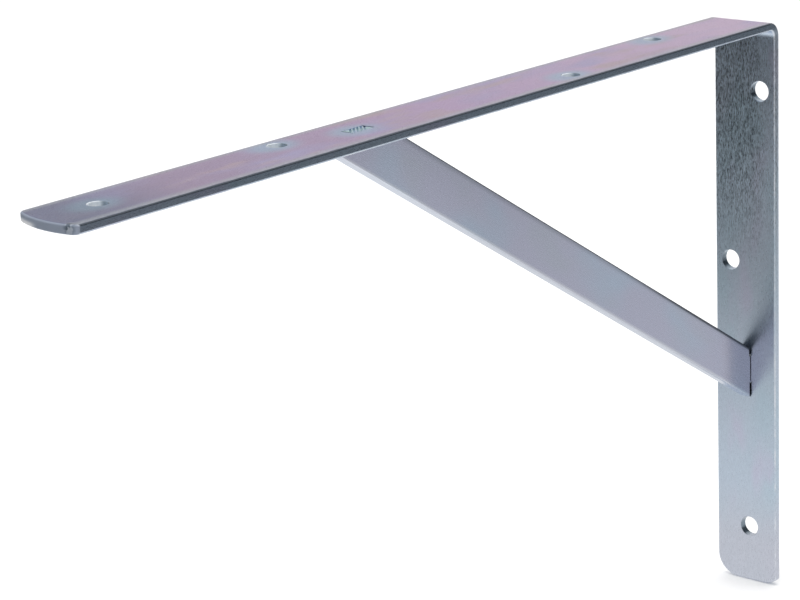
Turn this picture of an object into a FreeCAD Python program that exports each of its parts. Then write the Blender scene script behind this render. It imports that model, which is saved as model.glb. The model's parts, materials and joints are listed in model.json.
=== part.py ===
import FreeCAD, Part
import math
import os

# Gallows shelf bracket: a flat steel bar bent to a right angle, with a brace riveted between its limbs.
# Sizes are in millimetres and the slant is in degrees.
# X runs out from the wall, Y runs across the bar and Z runs up.
# The origin is in the middle of the leg's wall face.

# Bent bar
arm_reach = 400.0
leg_height = 250.0
bar_width = 30.0
bar_thickness = 3.5
bar_edge_radius = 0.8
bend_inner_radius = 3.0

# Cropped ends: the arm's is slightly bowed, furthest out beside its middle line,
# and the leg's is straight between two rounded corners, the near one only partly taken by the crop
arm_bow_radius = 42.0
arm_bow_offset = 4.5
arm_corner_radius = 3.0
leg_corner_radius = 10.0
leg_near_corner_offset = 8.5
leg_near_corner_break = 1.0

# Screw holes: those in the arm are placed from the wall, those in the leg from the shelf,
# and the last hole in each limb from the limb's end
shelf_hole_diameter = 7.2
wall_hole_diameter = 8.6
hole_rim_bevel = 0.2
hole_stagger = 7.5
first_shelf_hole_out = 59.0
second_shelf_hole_out = 133.5
third_shelf_hole_out = 282.5
end_shelf_hole_inset = 25.0
top_wall_hole_down = 30.0
middle_wall_hole_down = 105.0
end_wall_hole_inset = 25.0
end_wall_hole_offset = 1.5

# Diagonal brace: its middle line runs from the leg's inner face to the arm's underside
brace_width = 19.0
brace_thickness = 5.0
brace_edge_radius = 0.6
brace_out = 249.5
brace_down = 154.3
upper_shoulder_gap = 1.2
lower_shoulder_gap = 0.9
brace_heel_radius = 3.0
brace_tip_height = 2.5

# Riveted tenons and the slots that hold them
arm_tenon_length = 10.4
leg_tenon_length = 11.5
arm_tenon_shift = 1.0
leg_tenon_shift = 1.8
slot_side_clearance = 0.25
slot_end_clearance = 0.7
tenon_recess = 0.05
tenon_spread_depth = 0.8
stake_mark_pitch = 1.9
stake_mark_width = 0.9
stake_mark_depth = 0.45
stake_mark_slant = 45.0

# Room by which a cutting shape stands clear of what it cuts
cut_margin = 2.0

# Planes and points that the two pieces share
shelf_z = leg_height / 2
foot_z = -leg_height / 2
underside_z = shelf_z - bar_thickness
half_width = bar_width / 2
bend_outer_radius = bend_inner_radius + bar_thickness
arm_tenon_x = brace_out - arm_tenon_shift
leg_tenon_z = shelf_z - brace_down + leg_tenon_shift
slot_width = brace_thickness + 2 * slot_side_clearance
origin = FreeCAD.Vector(0, 0, 0)
outward = FreeCAD.Vector(1, 0, 0)
across = FreeCAD.Vector(0, 1, 0)
upright = FreeCAD.Vector(0, 0, 1)


def side_point(x, z):
    return FreeCAD.Vector(x, 0, z)


def line(start, end):
    return Part.LineSegment(start, end).toShape()


def run_of_lines(points):
    return [line(start, end) for start, end in zip(points, points[1:])]


def arc_about(centre, start, end):
    """Shorter arc from start to end round a centre."""
    radius = start.distanceToPoint(centre)
    middle = (start - centre) + (end - centre)
    middle.normalize()
    return Part.Arc(start, centre + middle * radius, end).toShape()


def side_view_solid(edges, width):
    """Solid of a closed side view, as wide as stated and centred on the bar's middle plane."""
    face = Part.Face(Part.Wire(edges))
    face.translate(across * (-width / 2))
    return face.extrude(across * width)


def bent_strip():
    """Square-edged strip with its right-angle bend, as an L in side view."""
    centre = side_point(bend_outer_radius, shelf_z - bend_outer_radius)
    outer_low = side_point(0, centre.z)
    outer_high = side_point(centre.x, shelf_z)
    inner_high = side_point(centre.x, underside_z)
    inner_low = side_point(bar_thickness, centre.z)
    arm_end = [outer_high, side_point(arm_reach, shelf_z), side_point(arm_reach, underside_z), inner_high]
    leg_end = [inner_low, side_point(bar_thickness, foot_z), side_point(0, foot_z), outer_low]
    edges = [arc_about(centre, outer_low, outer_high)]
    edges += run_of_lines(arm_end)
    edges += [arc_about(centre, inner_high, inner_low)]
    edges += run_of_lines(leg_end)
    return side_view_solid(edges, bar_width)


def drop_of_arc(radius, offset):
    """How far an arc has fallen back from its furthest point at an offset to one side."""
    return radius - math.sqrt(radius ** 2 - offset ** 2)


def arm_end_waste():
    """What the crop takes off the arm: all that lies past the bow of its end."""
    depth = bar_thickness + 2 * cut_margin
    low_z = underside_z - cut_margin
    block = Part.makeBox(half_width + cut_margin, bar_width + 2 * cut_margin, depth)
    block.translate(FreeCAD.Vector(arm_reach - half_width, -half_width - cut_margin, low_z))
    bow_axis = FreeCAD.Vector(arm_reach - arm_bow_radius, arm_bow_offset, low_z)
    return block.cut(Part.makeCylinder(arm_bow_radius, depth, bow_axis, upright))


def leg_corner_waste():
    """What the crop takes off the leg's near corner, outside an arc that runs out at the bar's side."""
    taken_width = half_width - leg_near_corner_offset
    taken_height = drop_of_arc(leg_corner_radius, taken_width)
    depth = bar_thickness + 2 * cut_margin
    block = Part.makeBox(depth, taken_width + cut_margin, taken_height + 2 * cut_margin)
    block.translate(FreeCAD.Vector(-cut_margin, leg_near_corner_offset, foot_z - cut_margin))
    corner_axis = FreeCAD.Vector(-cut_margin, leg_near_corner_offset, foot_z + leg_corner_radius)
    return block.cut(Part.makeCylinder(leg_corner_radius, depth, corner_axis, outward))


def nearest_edge(shape, point):
    return min(shape.Edges, key=lambda edge: edge.CenterOfMass.distanceToPoint(point))


def round_corners(strip):
    """The strip with the upright corners of both cropped ends rounded."""
    arm_z = shelf_z - bar_thickness / 2
    leg_x = bar_thickness / 2
    far_arm_x = arm_reach - drop_of_arc(arm_bow_radius, half_width + arm_bow_offset)
    near_arm_x = arm_reach - drop_of_arc(arm_bow_radius, half_width - arm_bow_offset)
    near_leg_z = foot_z + drop_of_arc(leg_corner_radius, half_width - leg_near_corner_offset)
    corners = [
        (FreeCAD.Vector(far_arm_x, -half_width, arm_z), arm_corner_radius),
        (FreeCAD.Vector(near_arm_x, half_width, arm_z), arm_corner_radius),
        (FreeCAD.Vector(leg_x, -half_width, foot_z), leg_corner_radius),
        (FreeCAD.Vector(leg_x, half_width, near_leg_z), leg_near_corner_break),
    ]
    for point, radius in corners:
        strip = strip.makeFillet(radius, [nearest_edge(strip, point)])
    return strip


def is_rim(face):
    """True for the narrow faces round the strip's outline, false for its broad faces."""
    on_a_side = face.BoundBox.YLength < bar_edge_radius
    middle = face.CenterOfMass
    at_an_end = middle.x > arm_reach - half_width or middle.z < foot_z + half_width
    return on_a_side or at_an_end


def outline_edges(strip):
    """Edges where a rim face meets a broad face: each belongs to one rim face only."""
    rim_edges = [edge for face in strip.Faces if is_rim(face) for edge in face.Edges]
    return [edge for edge in rim_edges if sum(edge.isSame(other) for other in rim_edges) == 1]


def punched_hole(diameter):
    """Cutting shape of a hole through the bar along Z, bevelled at both faces."""
    radius = diameter / 2
    rim = radius + hole_rim_bevel
    low_end = -cut_margin
    high_end = bar_thickness + cut_margin
    profile = [
        side_point(0, low_end),
        side_point(rim, low_end),
        side_point(rim, 0),
        side_point(radius, hole_rim_bevel),
        side_point(radius, bar_thickness - hole_rim_bevel),
        side_point(rim, bar_thickness),
        side_point(rim, high_end),
        side_point(0, high_end),
        side_point(0, low_end),
    ]
    return Part.Face(Part.Wire(run_of_lines(profile))).revolve(origin, upright, 360)


def screw_holes():
    """Cutting shapes of the holes, most of them staggered either side of the middle line."""
    shelf_places = [
        (first_shelf_hole_out, -hole_stagger),
        (second_shelf_hole_out, hole_stagger),
        (third_shelf_hole_out, -hole_stagger),
        (arm_reach - end_shelf_hole_inset, 0.0),
    ]
    wall_places = [
        (shelf_z - top_wall_hole_down, hole_stagger),
        (shelf_z - middle_wall_hole_down, -hole_stagger),
        (foot_z + end_wall_hole_inset, end_wall_hole_offset),
    ]
    holes = []
    for x, y in shelf_places:
        hole = punched_hole(shelf_hole_diameter)
        hole.translate(FreeCAD.Vector(x, y, underside_z))
        holes.append(hole)
    for z, y in wall_places:
        hole = punched_hole(wall_hole_diameter)
        hole.rotate(origin, across, 90)
        hole.translate(FreeCAD.Vector(0, y, z))
        holes.append(hole)
    return holes


def tenon_slots():
    """Cutting shapes of the two slots, one through the arm and one through the leg."""
    depth = bar_thickness + 2 * cut_margin
    arm_slot_length = arm_tenon_length + 2 * slot_end_clearance
    leg_slot_length = leg_tenon_length + 2 * slot_end_clearance
    arm_slot = Part.makeBox(arm_slot_length, slot_width, depth)
    arm_slot.translate(
        FreeCAD.Vector(arm_tenon_x - arm_slot_length / 2, -slot_width / 2, underside_z - cut_margin)
    )
    leg_slot = Part.makeBox(depth, slot_width, leg_slot_length)
    leg_slot.translate(FreeCAD.Vector(-cut_margin, -slot_width / 2, leg_tenon_z - leg_slot_length / 2))
    return [arm_slot, leg_slot]


def bent_bar():
    """Arm and leg in one piece: cropped, bent, edges rounded, then punched."""
    strip = bent_strip().cut([arm_end_waste(), leg_corner_waste()])
    strip = round_corners(strip)
    strip = strip.makeFillet(bar_edge_radius, outline_edges(strip))
    return strip.cut(screw_holes() + tenon_slots())


def brace_middle_line():
    """Start of the brace's middle line at the leg, and its unit direction up to the arm."""
    start = side_point(bar_thickness, shelf_z - brace_down)
    along = side_point(brace_out, underside_z) - start
    along.normalize()
    return start, along


def brace_stock():
    """Flat bar on edge along the middle line, with rounded long edges, too long at both ends."""
    start, along = brace_middle_line()
    middle_length = side_point(brace_out, underside_z).distanceToPoint(start)
    overrun = 2 * brace_width
    stock = Part.makeBox(middle_length + 2 * overrun, brace_thickness, brace_width)
    long_edges = [edge for edge in stock.Edges if edge.Length > middle_length]
    stock = stock.makeFillet(brace_edge_radius, long_edges)
    stock.translate(FreeCAD.Vector(-overrun, -brace_thickness / 2, -brace_width / 2))
    slope = math.degrees(math.atan2(along.z, along.x))
    stock.rotate(origin, across, -slope)
    stock.translate(start)
    return stock


def brace_ends():
    """Side view that the stock is sheared to: shoulders, tenons, rounded heel and blunt tip."""
    start, along = brace_middle_line()
    to_upper_edge = side_point(-along.z, along.x) * (brace_width / 2)
    upper = start + to_upper_edge
    lower = start - to_upper_edge
    upper_shoulder_x = bar_thickness + upper_shoulder_gap
    lower_shoulder_x = bar_thickness + lower_shoulder_gap
    leg_tenon_low = leg_tenon_z - leg_tenon_length / 2
    leg_tenon_high = leg_tenon_z + leg_tenon_length / 2
    arm_tenon_near = arm_tenon_x - arm_tenon_length / 2
    arm_tenon_far = arm_tenon_x + arm_tenon_length / 2
    heel = upper + along * ((upper_shoulder_x - upper.x) / along.x)
    tip = lower + along * ((underside_z - brace_tip_height - lower.z) / along.z)
    half_corner = math.acos(-along.z) / 2
    setback = brace_heel_radius / math.tan(half_corner)
    heel_low = heel - side_point(0, setback)
    heel_high = heel + along * setback
    heel_centre = heel_low + side_point(brace_heel_radius, 0)
    leg_side = [
        side_point(lower_shoulder_x, foot_z),
        side_point(lower_shoulder_x, leg_tenon_low),
        side_point(tenon_recess, leg_tenon_low),
        side_point(tenon_recess, leg_tenon_high),
        side_point(upper_shoulder_x, leg_tenon_high),
        heel_low,
    ]
    arm_side = [
        heel_high,
        side_point(heel_high.x, underside_z),
        side_point(arm_tenon_near, underside_z),
        side_point(arm_tenon_near, shelf_z - tenon_recess),
        side_point(arm_tenon_far, shelf_z - tenon_recess),
        side_point(arm_tenon_far, underside_z),
        side_point(tip.x, underside_z),
        side_point(tip.x, foot_z),
        side_point(lower_shoulder_x, foot_z),
    ]
    edges = run_of_lines(leg_side) + [arc_about(heel_centre, heel_low, heel_high)] + run_of_lines(arm_side)
    return side_view_solid(edges, brace_thickness + 2 * cut_margin)


def spread_end(length):
    """Outer end of a tenon as spread by the rivet punch to fill its slot's width, under the plane z = 0."""
    half_slot = slot_width / 2
    half_tenon = brace_thickness / 2
    section = [
        FreeCAD.Vector(0, -half_slot, 0),
        FreeCAD.Vector(0, -half_slot, -tenon_spread_depth),
        FreeCAD.Vector(0, -half_tenon, -2 * tenon_spread_depth),
        FreeCAD.Vector(0, half_tenon, -2 * tenon_spread_depth),
        FreeCAD.Vector(0, half_slot, -tenon_spread_depth),
        FreeCAD.Vector(0, half_slot, 0),
        FreeCAD.Vector(0, -half_slot, 0),
    ]
    spread = Part.Face(Part.Wire(run_of_lines(section))).extrude(outward * length)
    spread.translate(outward * (-length / 2))
    return spread


def stake_marks(length):
    """Cutting shapes of the slanted V grooves that the rivet punch leaves in a tenon's end at z = 0."""
    count = int(length / stake_mark_pitch)
    marks = []
    for i in range(count):
        bottom = side_point((i - (count - 1) / 2) * stake_mark_pitch, -stake_mark_depth)
        left_rise = side_point(-stake_mark_width, 2 * stake_mark_depth)
        right_rise = side_point(stake_mark_width, 2 * stake_mark_depth)
        groove = run_of_lines([bottom, bottom + right_rise, bottom + left_rise, bottom])
        mark = side_view_solid(groove, bar_width)
        mark.rotate(bottom, upright, -stake_mark_slant)
        marks.append(mark)
    return marks


def staked_tenons(brace):
    """The brace with both tenon ends spread in their slots and scored by the rivet punch."""
    arm_place = FreeCAD.Vector(arm_tenon_x, 0, shelf_z - tenon_recess)
    leg_place = FreeCAD.Vector(tenon_recess, 0, leg_tenon_z)
    for length, turn, place in ((arm_tenon_length, 0, arm_place), (leg_tenon_length, -90, leg_place)):
        spread = spread_end(length).cut(stake_marks(length))
        spread.rotate(origin, across, turn)
        spread.translate(place)
        grooves = [mark.rotated(origin, across, turn).translated(place) for mark in stake_marks(length)]
        brace = brace.cut(grooves).fuse(spread)
    return brace.removeSplitter()


def diagonal_brace():
    """Brace between arm and leg: stock sheared at both ends, with its tenon ends staked over."""
    return staked_tenons(brace_stock().common(brace_ends()))


os.makedirs("parts", exist_ok=True)
for name, build in (("bent_bar", bent_bar), ("diagonal_brace", diagonal_brace)):
    solid = build().Solids[0]
    solid.exportStep("parts/" + name + ".step")
    print(name, "volume", round(solid.Volume, 1), "valid", solid.isValid())
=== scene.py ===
import json
import math

import bpy
from mathutils import Matrix, Vector


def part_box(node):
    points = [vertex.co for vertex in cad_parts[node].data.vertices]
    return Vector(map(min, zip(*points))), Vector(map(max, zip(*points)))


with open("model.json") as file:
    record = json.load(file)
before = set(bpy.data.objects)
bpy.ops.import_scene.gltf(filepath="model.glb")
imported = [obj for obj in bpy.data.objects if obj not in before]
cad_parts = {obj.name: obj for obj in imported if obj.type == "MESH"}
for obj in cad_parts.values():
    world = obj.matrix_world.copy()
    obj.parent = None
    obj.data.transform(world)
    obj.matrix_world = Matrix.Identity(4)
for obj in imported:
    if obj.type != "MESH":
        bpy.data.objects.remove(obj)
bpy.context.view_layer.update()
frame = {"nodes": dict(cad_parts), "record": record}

# Bent bar
# Arm and leg of the bracket in one flat bar of mild steel, cropped, punched and bent cold to a right angle.
# It is zinc plated and passivated: the film left on the zinc is mauve on the shelf face, blue grey elsewhere.
bar = frame["nodes"]["bent_bar"]
bar_low, bar_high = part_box("bent_bar")
bar_thickness = 0.0035
bend_height = 0.007
shelf_holes = [mount for mount in frame["record"]["mounts"] if mount["name"].startswith("shelf_hole")]
wall_holes = [mount for mount in frame["record"]["mounts"] if mount["name"].startswith("wall_hole")]
shelf_bore_radius = shelf_holes[0]["dims"]["r_mm"] / 1000
wall_bore_radius = wall_holes[0]["dims"]["r_mm"] / 1000
bare_zinc = (0.72, 0.75, 0.80, 1.0)


def add_node(tree, kind, inputs=(), **settings):
    """A new shader node, each input given as a value or as the socket that feeds it."""
    node = tree.nodes.new(kind)
    for name, value in settings.items():
        setattr(node, name, value)
    for name, value in dict(inputs).items():
        if isinstance(value, bpy.types.NodeSocket):
            tree.links.new(value, node.inputs[name])
        else:
            node.inputs[name].default_value = value
    return node


def math_of(tree, operation, first, second=0.0, third=0.0):
    """Output of a Math node."""
    return add_node(tree, "ShaderNodeMath", {0: first, 1: second, 2: third}, operation=operation).outputs[0]


def product(tree, first, *others):
    """Masks and strengths multiplied together."""
    for other in others:
        first = math_of(tree, "MULTIPLY", first, other)
    return first


def base_plus(tree, base, share, gain):
    """A base level, raised by a share of a gain."""
    return math_of(tree, "MULTIPLY_ADD", share, gain, base)


def fade(tree, value, start, end):
    """Share that goes smoothly from 0 at the start value to 1 at the end value, whichever is greater."""
    inputs = {"Value": value, "From Min": start, "From Max": end}
    return add_node(tree, "ShaderNodeMapRange", inputs, interpolation_type="SMOOTHSTEP").outputs["Result"]


def vector_of(tree, operation, first, second=(0.0, 0.0, 0.0)):
    """Output of a Vector Math node: a number for a length, a distance or a dot product."""
    node = add_node(tree, "ShaderNodeVectorMath", {0: first, 1: second}, operation=operation)
    gives_number = operation in ("LENGTH", "DISTANCE", "DOT_PRODUCT")
    return node.outputs["Value" if gives_number else "Vector"]


def parts_of(tree, vector):
    """The three parts of a vector."""
    return add_node(tree, "ShaderNodeSeparateXYZ", {0: vector}).outputs


def joined(tree, first, second, third):
    """A vector from its three parts."""
    return add_node(tree, "ShaderNodeCombineXYZ", {0: first, 1: second, 2: third}).outputs[0]


def noise_of(tree, place, scale=1.0, detail=2.0, roughness=0.5):
    """Level of a soft random pattern."""
    inputs = {"Vector": place, "Scale": scale, "Detail": detail, "Roughness": roughness}
    return add_node(tree, "ShaderNodeTexNoise", inputs).outputs[0]


def mix_colours(tree, share, first, second, blend_type="MIX"):
    """Colour that is a share of the way from the first to the second."""
    inputs = {0: share, 6: first, 7: second}
    return add_node(tree, "ShaderNodeMix", inputs, data_type="RGBA", blend_type=blend_type).outputs[2]


def shaded(tree, colour, level):
    """Colour made darker or brighter by a level."""
    grey = add_node(tree, "ShaderNodeCombineColor", {0: level, 1: level, 2: level}).outputs[0]
    return mix_colours(tree, 1.0, colour, grey, "MULTIPLY")


def colour_ramp(tree, value, stops):
    """Colour that follows a value through stops, each a place from 0 to 1 and its colour."""
    node = add_node(tree, "ShaderNodeValToRGB", {0: value})
    elements = node.color_ramp.elements
    elements[0].position, elements[0].color = stops[0]
    elements[1].position, elements[1].color = stops[-1]
    for position, colour in stops[1:-1]:
        elements.new(position).color = colour
    return node.outputs[0]


def new_group(name, inputs, outputs):
    """Empty shader node group with its named sockets, and its input and output nodes."""
    group = bpy.data.node_groups.new(name, "ShaderNodeTree")
    for socket_name, kind in inputs:
        group.interface.new_socket(socket_name, in_out="INPUT", socket_type=kind)
    for socket_name, kind in outputs:
        group.interface.new_socket(socket_name, in_out="OUTPUT", socket_type=kind)
    return group, group.nodes.new("NodeGroupInput").outputs, group.nodes.new("NodeGroupOutput").inputs


def stretched(tree, place, length, width):
    """Place measured in lengths along X and in widths across it."""
    along, across, through = parts_of(tree, place)
    lengths = math_of(tree, "DIVIDE", along, length)
    widths = math_of(tree, "DIVIDE", across, width)
    return joined(tree, lengths, widths, math_of(tree, "DIVIDE", through, width))


def new_material(name):
    """Plain material and its surface shader."""
    material = bpy.data.materials.new(name)
    material.use_nodes = True
    return material, material.node_tree.nodes["Principled BSDF"]


# The fine lengthwise lines that rolling leaves on flat bar and that plating follows.
line_detail = 3.0
line_roughness = 0.6
streak_levels = (0.35, 0.65)
rolled_grain, given, made = new_group(
    "Rolled grain",
    [("Position", "NodeSocketVector"), ("Length", "NodeSocketFloat"), ("Width", "NodeSocketFloat")],
    [("Streaks", "NodeSocketFloat"), ("Height", "NodeSocketFloat")],
)
line_place = stretched(rolled_grain, given["Position"], given["Length"], given["Width"])
lines = noise_of(rolled_grain, line_place, detail=line_detail, roughness=line_roughness)
rolled_grain.links.new(fade(rolled_grain, lines, *streak_levels), made["Streaks"])
rolled_grain.links.new(lines, made["Height"])

# The passivation film, whose tint drifts between three hues in soft patches.
second_tint_levels = (0.45, 0.7)
third_tint_levels = (0.5, 0.75)
third_tint_shift = (7.3, 2.1, 4.6)
third_tint_scale = 1.6
passive_film, given, made = new_group(
    "Passivation film",
    [
        ("Position", "NodeSocketVector"),
        ("Length", "NodeSocketFloat"),
        ("Width", "NodeSocketFloat"),
        ("Main Tint", "NodeSocketColor"),
        ("Second Tint", "NodeSocketColor"),
        ("Third Tint", "NodeSocketColor"),
    ],
    [("Tint", "NodeSocketColor")],
)
patch_place = stretched(passive_film, given["Position"], given["Length"], given["Width"])
other_place = vector_of(passive_film, "ADD", patch_place, third_tint_shift)
second_share = fade(passive_film, noise_of(passive_film, patch_place), *second_tint_levels)
third_share = fade(passive_film, noise_of(passive_film, other_place, third_tint_scale), *third_tint_levels)
two_tints = mix_colours(passive_film, second_share, given["Main Tint"], given["Second Tint"])
passive_film.links.new(mix_colours(passive_film, third_share, two_tints, given["Third Tint"]), made["Tint"])

# The rounded long edges, where handling rubs the film off the zinc in patches.
off_broad_face = (0.15, 0.45)
off_side = (0.98, 0.85)
rub_levels = (0.3, 0.7)
rubbed_edges, given, made = new_group(
    "Rubbed edges",
    [("Position", "NodeSocketVector"), ("Patch Size", "NodeSocketFloat")],
    [("Mask", "NodeSocketFloat")],
)
facing = add_node(rubbed_edges, "ShaderNodeNewGeometry").outputs["Normal"]
turned_aside = math_of(rubbed_edges, "ABSOLUTE", parts_of(rubbed_edges, facing)[1])
past_broad_face = fade(rubbed_edges, turned_aside, *off_broad_face)
on_edge = product(rubbed_edges, past_broad_face, fade(rubbed_edges, turned_aside, *off_side))
rub_place = stretched(rubbed_edges, given["Position"], given["Patch Size"], given["Patch Size"])
rub = fade(rubbed_edges, noise_of(rubbed_edges, rub_place), *rub_levels)
rubbed_edges.links.new(product(rubbed_edges, on_edge, rub), made["Mask"])

bar_zinc, surface = new_material("bar_zinc")
tree = bar_zinc.node_tree
place = add_node(tree, "ShaderNodeTexCoord").outputs["Object"]
x, y, z = parts_of(tree, place)
forward, sideways, upward = parts_of(tree, add_node(tree, "ShaderNodeNewGeometry").outputs["Normal"])
off_middle = math_of(tree, "ABSOLUTE", y)
below_shelf = math_of(tree, "SUBTRACT", bar_high.z, z)
from_end = math_of(tree, "SUBTRACT", bar_high.x, x)
above_foot = math_of(tree, "SUBTRACT", z, bar_low.z)
on_leg = fade(tree, below_shelf, bar_thickness, bend_height)
leg_place = joined(tree, z, y, x)
arm_or_leg = {0: on_leg, 4: place, 5: leg_place}
grain_place = add_node(tree, "ShaderNodeMix", arm_or_leg, data_type="VECTOR").outputs[1]

# On the shelf face the film is mauve, deeper toward the free end and grey along the long edges.
shelf_film_stops = [
    (0.05, (0.50, 0.35, 0.52, 1.0)),
    (0.5, (0.405, 0.26, 0.455, 1.0)),
    (0.9, (0.265, 0.18, 0.315, 1.0)),
]
shelf_film_lilac = (0.325, 0.275, 0.49, 1.0)
shelf_film_tan = (0.40, 0.28, 0.35, 1.0)
shelf_film_at_end = (0.055, 0.08, 0.185, 1.0)
shelf_edge_grey = (0.34, 0.37, 0.40, 1.0)
middle_level = 0.5
coarse_detail = 1.0
film_drift_scale = 25.0
film_drift = 0.12
shelf_patch_length = 0.05
shelf_patch_width = 0.018
end_reach = (0.065, 0.008)
end_strength = 0.85
edge_reach = (0.0105, 0.0138)
edge_strength = 0.6
drift_noise = noise_of(tree, place, film_drift_scale, coarse_detail)
drift = math_of(tree, "SUBTRACT", drift_noise, middle_level)
drifted_reach = base_plus(tree, math_of(tree, "DIVIDE", x, bar_high.x), drift, film_drift)
shelf_tint = add_node(
    tree,
    "ShaderNodeGroup",
    {
        "Position": place,
        "Length": shelf_patch_length,
        "Width": shelf_patch_width,
        "Main Tint": colour_ramp(tree, drifted_reach, shelf_film_stops),
        "Second Tint": shelf_film_lilac,
        "Third Tint": shelf_film_tan,
    },
    node_tree=passive_film,
).outputs["Tint"]
by_end = product(tree, fade(tree, from_end, *end_reach), end_strength)
by_edge = product(tree, fade(tree, off_middle, *edge_reach), edge_strength)
end_tint = mix_colours(tree, by_end, shelf_tint, shelf_film_at_end)

# Round each hole in the arm and round the tenon the film has dried to a blue halo, drawn out along the arm.
halo_blue = (0.27, 0.385, 0.53, 1.0)
halo_blue_at_end = (0.09, 0.17, 0.26, 1.0)
halo_width = 0.007
halo_shift = Vector((0.002, 0.0, 0.0))
halo_squeeze = (0.7, 1.0, 1.0)
halo_strength = 0.8
tenon_centre = Vector((0.2485, 0.0, 0.0))
arm_plan = joined(tree, x, y, 0.0)
shelf_hole_centres = [Vector((hole["pos_m"][0], hole["pos_m"][1], 0.0)) for hole in shelf_holes]
halo = 0.0
for centre in shelf_hole_centres + [tenon_centre]:
    from_halo = vector_of(tree, "SUBTRACT", arm_plan, centre + halo_shift)
    away = vector_of(tree, "LENGTH", vector_of(tree, "MULTIPLY", from_halo, halo_squeeze))
    halo = math_of(tree, "MAXIMUM", halo, fade(tree, away, shelf_bore_radius + halo_width, shelf_bore_radius))
halo_tint = mix_colours(tree, by_end, halo_blue, halo_blue_at_end)
haloed = mix_colours(tree, product(tree, halo, halo_strength), end_tint, halo_tint)
shelf_colour = mix_colours(tree, by_edge, haloed, shelf_edge_grey)

# On the leg and the sides the film is blue grey, warmer at the foot.
leg_film_blue = (0.48, 0.555, 0.65, 1.0)
leg_film_cyan = (0.45, 0.555, 0.645, 1.0)
leg_film_lilac = (0.51, 0.535, 0.655, 1.0)
leg_film_at_foot = (0.51, 0.53, 0.60, 1.0)
leg_patch_length = 0.05
leg_patch_width = 0.02
foot_reach = (0.05, 0.015)
foot_strength = 0.9
shelf_face_lean = (0.5, 0.9)
shelf_face_depth = (0.0007, 0.0003)
leg_tint = add_node(
    tree,
    "ShaderNodeGroup",
    {
        "Position": grain_place,
        "Length": leg_patch_length,
        "Width": leg_patch_width,
        "Main Tint": leg_film_blue,
        "Second Tint": leg_film_cyan,
        "Third Tint": leg_film_lilac,
    },
    node_tree=passive_film,
).outputs["Tint"]
by_foot = product(tree, fade(tree, above_foot, *foot_reach), foot_strength)
leg_colour = mix_colours(tree, by_foot, leg_tint, leg_film_at_foot)
shelf_face = product(tree, fade(tree, upward, *shelf_face_lean), fade(tree, below_shelf, *shelf_face_depth))
film_colour = mix_colours(tree, shelf_face, leg_colour, shelf_colour)

# The long edges are rubbed bright, and the arm's upper rounded ones get painted shade: a dark reflection
# painted into the colour.
rub_patch = 0.006
bar_rub = 0.8
painted_edge_shade = (0.10, 0.115, 0.14, 1.0)
rounded_from_top = (0.97, 0.80)
rounded_from_side = (0.02, 0.2)
rounded_depth = (0.0010, 0.0008)
rounded_past_bend = (0.004, 0.007)
rounded_off_end = (0.3, 0.1)
rub_inputs = {"Position": place, "Patch Size": rub_patch}
edges = add_node(tree, "ShaderNodeGroup", rub_inputs, node_tree=rubbed_edges)
rubbed = mix_colours(tree, product(tree, edges.outputs["Mask"], bar_rub), film_colour, bare_zinc)
# Mask of the painted shade on the arm's upper rounded edges.
edge_shade_mask = product(
    tree,
    fade(tree, upward, *rounded_from_top),
    fade(tree, upward, *rounded_from_side),
    fade(tree, below_shelf, *rounded_depth),
    fade(tree, x, *rounded_past_bend),
    fade(tree, forward, *rounded_off_end),
)

# Both ends are cropped by a shear, which leaves a duller grey face.
sheared_grey = (0.29, 0.33, 0.41, 1.0)
arm_end_strip = (0.006, 0.005)
arm_end_lean = (0.1, 0.5)
foot_strip = (0.0045, 0.004)
foot_lean = (-0.5, -0.8)
end_strip = fade(tree, from_end, *arm_end_strip)
arm_end = product(tree, fade(tree, forward, *arm_end_lean), end_strip)
foot_end = product(tree, fade(tree, upward, *foot_lean), fade(tree, above_foot, *foot_strip))
cropped = math_of(tree, "MAXIMUM", arm_end, foot_end)
# The painted shade of the arm's upper edges lies over the sheared grey of the ends.
sheared = mix_colours(tree, edge_shade_mask, mix_colours(tree, cropped, rubbed, sheared_grey), painted_edge_shade)

# The far corner of the arm's end gets a painted highlight below, and the near one, crumpled a little by the
# shear, gets painted glints and dark spots.
corner_painted_highlight = (0.85, 0.86, 0.88, 1.0)
corner_highlight_across = (-0.002, -0.007)
corner_highlight_depth = (0.0012, 0.0026)
corner_highlight_strength = 0.9
crumple_painted_shade = (0.05, 0.075, 0.10, 1.0)
crumple_painted_glint = (0.42, 0.46, 0.52, 1.0)
crumple_place = Vector((bar_high.x - 0.0018, 0.0120, bar_high.z - 0.0014))
crumple_reach = (0.0028, 0.0010)
crumple_scale = 560.0
crumple_levels = (0.47, 0.60)
crumple_strength = 0.85
corner_highlight_mask = product(
    tree, fade(tree, y, *corner_highlight_across), fade(tree, below_shelf, *corner_highlight_depth), arm_end, corner_highlight_strength
)
corner_highlighted = mix_colours(tree, corner_highlight_mask, sheared, corner_painted_highlight)
crumple_away = vector_of(tree, "DISTANCE", place, crumple_place)
crumple = product(tree, fade(tree, crumple_away, *crumple_reach), end_strip, crumple_strength)
crumple_noise = noise_of(tree, place, crumple_scale, coarse_detail)
crumple_glints = mix_colours(tree, fade(tree, crumple_noise, *crumple_levels), crumple_painted_shade, crumple_painted_glint)
crumpled = mix_colours(tree, crumple, corner_highlighted, crumple_glints)

# Behind the brace's shoulder the leg gets painted shade, standing for the shadow in the gap.
painted_gap_shade = (0.035, 0.045, 0.06, 1.0)
gap_across = (0.0027, 0.0025)
gap_height = 0.0205
gap_blur = 0.0003
leg_front_reach = (0.0020, 0.0030)
above_gap = math_of(tree, "SUBTRACT", z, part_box("diagonal_brace")[0].z)
gap_shade_mask = product(
    tree,
    fade(tree, off_middle, *gap_across),
    fade(tree, above_gap, -gap_blur, 0.0),
    fade(tree, above_gap, gap_height + gap_blur, gap_height),
    on_leg,
    fade(tree, x, *leg_front_reach),
)
gap_shaded = mix_colours(tree, gap_shade_mask, crumpled, painted_gap_shade)
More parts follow.
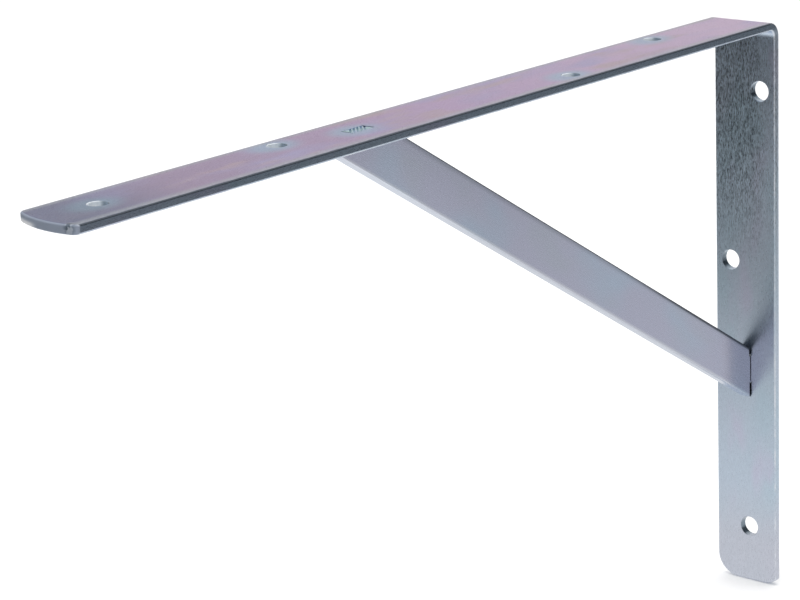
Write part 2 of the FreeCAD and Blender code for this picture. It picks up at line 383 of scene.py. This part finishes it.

# The holes are punched. Each bore in the arm gets a painted highlight on one side and painted shade on the
# rest; each bore in the leg gets painted shade on one side.
bore_highlight_zinc = (0.90, 0.95, 1.0, 1.0)
bore_painted_shade = (0.20, 0.25, 0.30, 1.0)
rim_reach = (0.0002, 0.0001)
bore_highlight_side = (0.55, -0.83, 0.0)
bore_highlight_lean = (-0.0016, 0.0018)
wall_bore_shade_side = (-0.3, -0.95, 0.0)
wall_bore_shade_lean = (0.0005, 0.0038)
leg_plan = joined(tree, z, y, 0.0)


def bore_mask(from_centre, radius):
    """Mask of a bore's wall, out to its rim."""
    away = vector_of(tree, "LENGTH", from_centre)
    return fade(tree, away, radius + rim_reach[0], radius + rim_reach[1])


def bore_side(from_centre, radius, side, lean):
    """Mask of the part of a bore's wall that lies to one side."""
    toward_side = vector_of(tree, "DOT_PRODUCT", from_centre, side)
    return product(tree, bore_mask(from_centre, radius), fade(tree, toward_side, *lean))


shelf_bores = 0.0
bore_highlight = 0.0
for centre in shelf_hole_centres:
    from_centre = vector_of(tree, "SUBTRACT", arm_plan, centre)
    bore_highlight_part = bore_side(from_centre, shelf_bore_radius, bore_highlight_side, bore_highlight_lean)
    shelf_bores = math_of(tree, "MAXIMUM", shelf_bores, bore_mask(from_centre, shelf_bore_radius))
    bore_highlight = math_of(tree, "MAXIMUM", bore_highlight, bore_highlight_part)
wall_bore_shade = 0.0
for hole in wall_holes:
    from_centre = vector_of(tree, "SUBTRACT", leg_plan, Vector((hole["pos_m"][2], hole["pos_m"][1], 0.0)))
    wall_bore_shade_part = bore_side(from_centre, wall_bore_radius, wall_bore_shade_side, wall_bore_shade_lean)
    wall_bore_shade = math_of(tree, "MAXIMUM", wall_bore_shade, wall_bore_shade_part)
bored = mix_colours(tree, shelf_bores, gap_shaded, mix_colours(tree, bore_highlight, bore_painted_shade, bore_highlight_zinc))
plated = mix_colours(tree, product(tree, wall_bore_shade, on_leg), bored, bore_painted_shade)

# Bending opens the rolling lines high on the leg, most of all away from its near edge.
line_length = 0.0016
line_width = 0.00026
arm_streaks = 0.06
leg_streaks = 0.08
strained_streaks = 1.05
strain_depth = (0.115, 0.055)
strain_across = (0.012, 0.003)
strain_at_edge = 0.25
painted_light_band_across = (0.0149, 0.0142)
painted_light_band_gain = 0.45
near_side_lean = (0.8, 0.95)
near_side_depth = (0.155, 0.055)
near_side_front = (0.0006, 0.0022)
near_side_shade_gain = -0.38
grain = add_node(
    tree,
    "ShaderNodeGroup",
    {"Position": grain_place, "Length": line_length, "Width": line_width},
    node_tree=rolled_grain,
).outputs
by_bend = fade(tree, below_shelf, *strain_depth)
strain_share = base_plus(tree, strain_at_edge, fade(tree, y, *strain_across), 1.0 - strain_at_edge)
strained = product(tree, by_bend, strain_share)
streak_depth = base_plus(tree, arm_streaks, on_leg, base_plus(tree, leg_streaks, strained, strained_streaks))
# Painted highlight: a lighter band high on the leg's front along its near edge.
unstrained = math_of(tree, "SUBTRACT", by_bend, strained)
painted_light_band = product(tree, unstrained, on_leg, fade(tree, y, *painted_light_band_across))
# Painted shade: high on the leg's near side, darker toward its inner edge.
near_side_painted_shade = product(
    tree,
    fade(tree, sideways, *near_side_lean),
    on_leg,
    fade(tree, below_shelf, *near_side_depth),
    fade(tree, x, *near_side_front),
)
painted_light_level = base_plus(tree, base_plus(tree, 1.0, painted_light_band, painted_light_band_gain), near_side_painted_shade, near_side_shade_gain)
centred_streaks = math_of(tree, "SUBTRACT", grain["Streaks"], middle_level)
shade = base_plus(tree, painted_light_level, centred_streaks, streak_depth)
tree.links.new(shaded(tree, plated, shade), surface.inputs["Base Color"])

# The plating is satin: smoother in the bores, rougher and less metallic where the steel was sheared.
bar_roughness = 0.27
bar_streak_roughness = 0.05
bore_roughness = -0.12
sheared_roughness = 0.25
bore_metal = -0.5
sheared_metal = -0.45
arm_line_height = 0.2
bar_bump_strength = 0.4
bump_height = 0.0001
film_roughness = base_plus(tree, bar_roughness, grain["Streaks"], bar_streak_roughness)
bored_roughness = base_plus(tree, film_roughness, shelf_bores, bore_roughness)
tree.links.new(base_plus(tree, bored_roughness, cropped, sheared_roughness), surface.inputs["Roughness"])
film_metal = base_plus(tree, 1.0, cropped, sheared_metal)
tree.links.new(base_plus(tree, film_metal, shelf_bores, bore_metal), surface.inputs["Metallic"])
line_height = product(tree, grain["Height"], base_plus(tree, arm_line_height, on_leg, 1.0 - arm_line_height))
bump_inputs = {"Strength": bar_bump_strength, "Distance": bump_height, "Height": line_height}
tree.links.new(add_node(tree, "ShaderNodeBump", bump_inputs).outputs[0], surface.inputs["Normal"])
bar.data.materials.clear()
bar.data.materials.append(bar_zinc)

# Diagonal brace
# A second flat bar of the same plated steel, set on edge between the two limbs.
# Its ends are sheared to shoulders and tenons, which pass through slots in the bar and are staked over.
brace = frame["nodes"]["diagonal_brace"]
brace_slope = math.radians(31.5)
brace_depth = 0.019
lower_edge = min(
    corner.co.z * math.cos(brace_slope) - corner.co.x * math.sin(brace_slope)
    for corner in brace.data.vertices
)
brace_zinc, surface = new_material("brace_zinc")
tree = brace_zinc.node_tree
place = add_node(tree, "ShaderNodeTexCoord").outputs["Object"]
parts = parts_of(tree, place)
x, z = parts[0], parts[2]
turn = {"Vector": place, "Angle": brace_slope}
brace_place = add_node(tree, "ShaderNodeVectorRotate", turn, rotation_type="Y_AXIS").outputs[0]
above_lower_edge = math_of(tree, "SUBTRACT", parts_of(tree, brace_place)[2], lower_edge)
below_upper_edge = math_of(tree, "SUBTRACT", brace_depth, above_lower_edge)
facing = parts_of(tree, add_node(tree, "ShaderNodeNewGeometry").outputs["Normal"])
sideways = math_of(tree, "ABSOLUTE", facing[1])
upward = facing[2]

# The film is lavender on the broad faces, paler on the narrow ones.
brace_film_lavender = (0.44, 0.455, 0.57, 1.0)
brace_film_cyan = (0.405, 0.485, 0.60, 1.0)
brace_film_grey = (0.425, 0.455, 0.545, 1.0)
brace_film_by_leg = (0.47, 0.455, 0.54, 1.0)
narrow_face_zinc = (0.51, 0.555, 0.65, 1.0)
brace_patch_length = 0.06
brace_patch_width = 0.03
film_by_leg_reach = (0.030, 0.018)
narrow_face_lean = (0.7, 0.3)
broad_face_lean = (0.3, 0.7)
brace_tint = add_node(
    tree,
    "ShaderNodeGroup",
    {
        "Position": brace_place,
        "Length": brace_patch_length,
        "Width": brace_patch_width,
        "Main Tint": brace_film_lavender,
        "Second Tint": brace_film_cyan,
        "Third Tint": brace_film_grey,
    },
    node_tree=passive_film,
).outputs["Tint"]
broad_film = mix_colours(tree, fade(tree, x, *film_by_leg_reach), brace_tint, brace_film_by_leg)
film_colour = mix_colours(tree, fade(tree, sideways, *narrow_face_lean), broad_film, narrow_face_zinc)
on_broad_face = fade(tree, sideways, *broad_face_lean)

# The lower edges are rubbed bright and carry a painted highlight strip; the upper ones carry painted shade,
# darkest where they meet the leg.
upper_edge_painted_shade = (0.16, 0.18, 0.21, 1.0)
brace_rub = 0.4
lower_edge_lean = (0.1, -0.1)
upper_edge_lean = (0.05, 0.25)
rounding_lean = (0.98, 0.9)
lower_border = (0.0018, 0.0004)
lower_border_strength = 0.55
upper_border = (0.0026, 0.0002)
upper_border_strength = 0.5
edge_line = (0.0014, 0.0008)
edge_line_lean = (0.1, 0.3)
edge_line_reach = (0.11, 0.04)
edge_line_strength = 0.8
heel_reach = (0.017, 0.006)
rub_inputs = {"Position": place, "Patch Size": rub_patch}
edges = add_node(tree, "ShaderNodeGroup", rub_inputs, node_tree=rubbed_edges)
lower_rub = product(tree, edges.outputs["Mask"], fade(tree, upward, *lower_edge_lean), brace_rub)
rubbed = mix_colours(tree, lower_rub, film_colour, bare_zinc)
upper_edge_shade_mask = product(tree, fade(tree, sideways, *rounding_lean), fade(tree, upward, *upper_edge_lean))
upper_edge_shaded = mix_colours(tree, upper_edge_shade_mask, rubbed, upper_edge_painted_shade)
lower_highlight_strip = product(tree, fade(tree, above_lower_edge, *lower_border), lower_border_strength, on_broad_face)
upper_shade_strip = product(tree, fade(tree, below_upper_edge, *upper_border), upper_border_strength, on_broad_face)
strips_painted = mix_colours(tree, upper_shade_strip, mix_colours(tree, lower_highlight_strip, upper_edge_shaded, bare_zinc), upper_edge_painted_shade)
heel_shade = product(tree, fade(tree, x, *heel_reach), upper_edge_shade_mask)
painted_dark_line = product(
    tree,
    fade(tree, below_upper_edge, *edge_line),
    fade(tree, sideways, *edge_line_lean),
    fade(tree, x, *edge_line_reach),
    edge_line_strength,
)
heel_shaded = mix_colours(tree, math_of(tree, "MAXIMUM", heel_shade, painted_dark_line), strips_painted, painted_gap_shade)

# The tenon ends, spread and staked over in their slots, have a mottled film of teal and blue.
staked_teal = (0.28, 0.42, 0.45, 1.0)
staked_blue = (0.32, 0.40, 0.54, 1.0)
staked_depth = (0.0018, 0.0014)
mottle_scale = 450.0
mottle_levels = (0.4, 0.6)
in_arm = fade(tree, math_of(tree, "SUBTRACT", bar_high.z, z), *staked_depth)
staked = math_of(tree, "MAXIMUM", in_arm, fade(tree, x, *staked_depth))
mottle = fade(tree, noise_of(tree, place, mottle_scale), *mottle_levels)
plated = mix_colours(tree, staked, heel_shaded, mix_colours(tree, mottle, staked_teal, staked_blue))

# Its rolling lines are long and faint, and painted light makes it a little brighter toward both ends.
brace_line_length = 0.007
brace_line_width = 0.0004
brace_shade = 0.94
brace_streaks = 0.02
painted_light_gain_at_ends = 0.15
painted_light_by_arm = (0.17, 0.24)
painted_light_by_leg = (0.035, 0.010)
brace_roughness = 0.25
brace_streak_roughness = 0.03
staked_roughness = 0.05
staked_metal = -0.1
brace_bump_strength = 0.02
grain = add_node(
    tree,
    "ShaderNodeGroup",
    {"Position": brace_place, "Length": brace_line_length, "Width": brace_line_width},
    node_tree=rolled_grain,
).outputs
painted_light_at_ends = math_of(tree, "MAXIMUM", fade(tree, x, *painted_light_by_arm), fade(tree, x, *painted_light_by_leg))
painted_light_level = base_plus(tree, brace_shade, painted_light_at_ends, painted_light_gain_at_ends)
shade = base_plus(tree, painted_light_level, grain["Streaks"], brace_streaks)
tree.links.new(shaded(tree, plated, shade), surface.inputs["Base Color"])
film_roughness = base_plus(tree, brace_roughness, grain["Streaks"], brace_streak_roughness)
tree.links.new(base_plus(tree, film_roughness, staked, staked_roughness), surface.inputs["Roughness"])
tree.links.new(base_plus(tree, 1.0, staked, staked_metal), surface.inputs["Metallic"])
bump_inputs = {"Strength": brace_bump_strength, "Distance": bump_height, "Height": grain["Height"]}
tree.links.new(add_node(tree, "ShaderNodeBump", bump_inputs).outputs[0], surface.inputs["Normal"])
brace.data.materials.clear()
brace.data.materials.append(brace_zinc)

# Floor
# A plain white sheet of matt paper that the bracket stands on, laid flat under the foot of the leg.
# It catches the bracket's soft shadow.
floor_size = 12.0
floor_gap = 0.0002
bpy.ops.mesh.primitive_plane_add(size=floor_size, location=(0.0, 0.0, bar_low.z - floor_gap))
floor = bpy.context.object
floor.name = "floor"
floor_white, surface = new_material("floor_white")
surface.inputs["Base Color"].default_value = (0.97, 0.97, 0.97, 1.0)
surface.inputs["Roughness"].default_value = 0.9
floor.data.materials.append(floor_white)

# Dark cards
# Sheets of dark board round the set, which only the metal reflects, so that its faces part from each other.
# One lies flat beside the arm, and three stand to its front, before the leg and by the wall.
card_dark, surface = new_material("card_dark")
surface.inputs["Base Color"].default_value = (0.07, 0.08, 0.09, 1.0)
surface.inputs["Roughness"].default_value = 1.0


def reflected_card(name, corners, faces, material):
    """A card of the set that only the metal's reflections see."""
    mesh = bpy.data.meshes.new(name)
    mesh.from_pydata(corners, [], faces)
    mesh.materials.append(material)
    card = bpy.data.objects.new(name, mesh)
    bpy.context.scene.collection.objects.link(card)
    card.visible_camera = False
    card.visible_diffuse = False
    card.visible_shadow = False
    card.visible_transmission = False


def flat_card(name, near, far, height, material):
    """A level card between two opposite corners in plan."""
    plan = [near, (far[0], near[1]), far, (near[0], far[1])]
    reflected_card(name, [(*corner, height) for corner in plan], [(0, 1, 2, 3)], material)


def standing_card(name, start, end, low, high, material):
    """An upright card over the line between two points in plan."""
    corners = [(*start, low), (*end, low), (*end, high), (*start, high)]
    reflected_card(name, corners, [(0, 1, 2, 3)], material)


flat_card("card_beside_arm", near=(-1.6, 0.0175), far=(0.6, 1.3), height=0.1205, material=card_dark)
standing_card("card_far_front", start=(-3.0, 1.3), end=(0.0, 1.3), low=0.12, high=0.65, material=card_dark)
standing_card("card_before_leg", start=(0.6, -1.9), end=(2.2, 0.4), low=-0.12, high=0.5, material=card_dark)
standing_card("card_by_wall", start=(-2.2, -0.8), end=(-2.2, 1.0), low=-0.12, high=1.0, material=card_dark)

# Grey card
# A low sheet of pale grey board, curved round behind the set, which only the metal reflects.
# The shelf face shows it at a low view, and so keeps the tint of its film there.
card_grey, surface = new_material("card_grey")
surface.inputs["Base Color"].default_value = (0.78, 0.78, 0.78, 1.0)
surface.inputs["Roughness"].default_value = 1.0
arc_steps = 24
arc_radius = 3.0
arc_low, arc_high = 0.13, 1.5
arc_start, arc_end = math.radians(160), math.radians(270)
arc_corners = []
for step in range(arc_steps + 1):
    angle = arc_start + (arc_end - arc_start) * step / arc_steps
    for height in (arc_low, arc_high):
        arc_corners.append((arc_radius * math.cos(angle), arc_radius * math.sin(angle), height))
arc_faces = [(2 * step, 2 * step + 2, 2 * step + 3, 2 * step + 1) for step in range(arc_steps)]
reflected_card("card_behind", arc_corners, arc_faces, card_grey)

# Pool of light
# The floor as the metal reflects it: bright under the bracket and behind it, and falling off into the room.
# It is a thin sheet of light just over the floor, which nothing but the metal sees.
pool_size = 3.0
pool_gap = 0.0001
pool_light, surface = new_material("pool_light")
tree = pool_light.node_tree
place = add_node(tree, "ShaderNodeNewGeometry").outputs["Position"]
heading_sideways = (0.82, -0.57, 0.0)
heading_forwards = (0.57, 0.82, 0.0)
levels_sideways = [
    (-1.7, 0.2), (-1.2, 0.38), (-0.84, 0.58), (-0.74, 0.78), (-0.64, 0.98), (-0.5, 0.80), (-0.35, 0.87),
    (-0.2, 0.94), (0.0, 1.0), (0.10, 1.0), (0.24, 0.95), (0.40, 0.64), (0.58, 0.34), (0.68, 0.24),
    (0.82, 0.15), (1.2, 0.06),
]
levels_forwards = [(0.0, 1.0), (0.3, 0.98), (0.45, 0.92), (0.68, 0.75), (0.82, 0.62), (1.2, 0.4)]


def light_along(heading, levels):
    """Light along a heading over the floor, from its levels at distances in metres."""
    first, last = levels[0][0], levels[-1][0]
    ahead = math_of(tree, "SUBTRACT", vector_of(tree, "DOT_PRODUCT", place, heading), first)
    stops = [((distance - first) / (last - first), (level, level, level, 1.0)) for distance, level in levels]
    return colour_ramp(tree, math_of(tree, "DIVIDE", ahead, last - first), stops)


light_sideways = light_along(heading_sideways, levels_sideways)
light_forwards = light_along(heading_forwards, levels_forwards)
light = mix_colours(tree, 1.0, light_sideways, light_forwards, "MULTIPLY")
tree.links.new(light, surface.inputs["Emission Color"])
surface.inputs["Emission Strength"].default_value = 1.0
surface.inputs["Base Color"].default_value = (0.0, 0.0, 0.0, 1.0)
surface.inputs["Specular IOR Level"].default_value = 0.0
surface.inputs["Roughness"].default_value = 1.0
flat_card("pool_of_light", (-pool_size, -pool_size), (pool_size, pool_size), bar_low.z - pool_gap, pool_light)

# Light
# Even white surroundings, with one large soft lamp hung overhead.
# The metal does not show the lamp itself.
world = bpy.data.worlds.new("white_surroundings")
world.use_nodes = True
world.node_tree.nodes["Background"].inputs["Color"].default_value = (1.0, 1.0, 1.0, 1.0)
bpy.context.scene.world = world
lamp = bpy.data.lights.new("soft_lamp", "AREA")
lamp.shape = "RECTANGLE"
lamp.size = 1.6
lamp.size_y = 1.2
lamp.energy = 12.0
lamp_object = bpy.data.objects.new("soft_lamp", lamp)
lamp_object.location = (0.1, -0.1, 1.6)
lamp_object.visible_glossy = False
bpy.context.scene.collection.objects.link(lamp_object)

# Camera
# It stands in front of the bracket, to the right, a little above the shelf face.
# A long lens keeps the bar's edges nearly parallel.
camera_place = Vector((0.964864, 0.638872, 0.334514))
camera_heading = math.radians(130.9806)
camera_height_angle = math.radians(15.865)
camera_roll = math.radians(-2.2986)
lens = bpy.data.cameras.new("camera")
lens.sensor_width = 36.0
lens.lens = 124.952
camera = bpy.data.objects.new("camera", lens)
camera.matrix_world = (
    Matrix.Translation(camera_place)
    @ Matrix.Rotation(camera_heading, 4, "Z")
    @ Matrix.Rotation(math.pi / 2 - camera_height_angle, 4, "X")
    @ Matrix.Rotation(camera_roll, 4, "Z")
)
bpy.context.scene.collection.objects.link(camera)
bpy.context.scene.camera = camera
bpy.context.scene.view_settings.view_transform = "Standard"
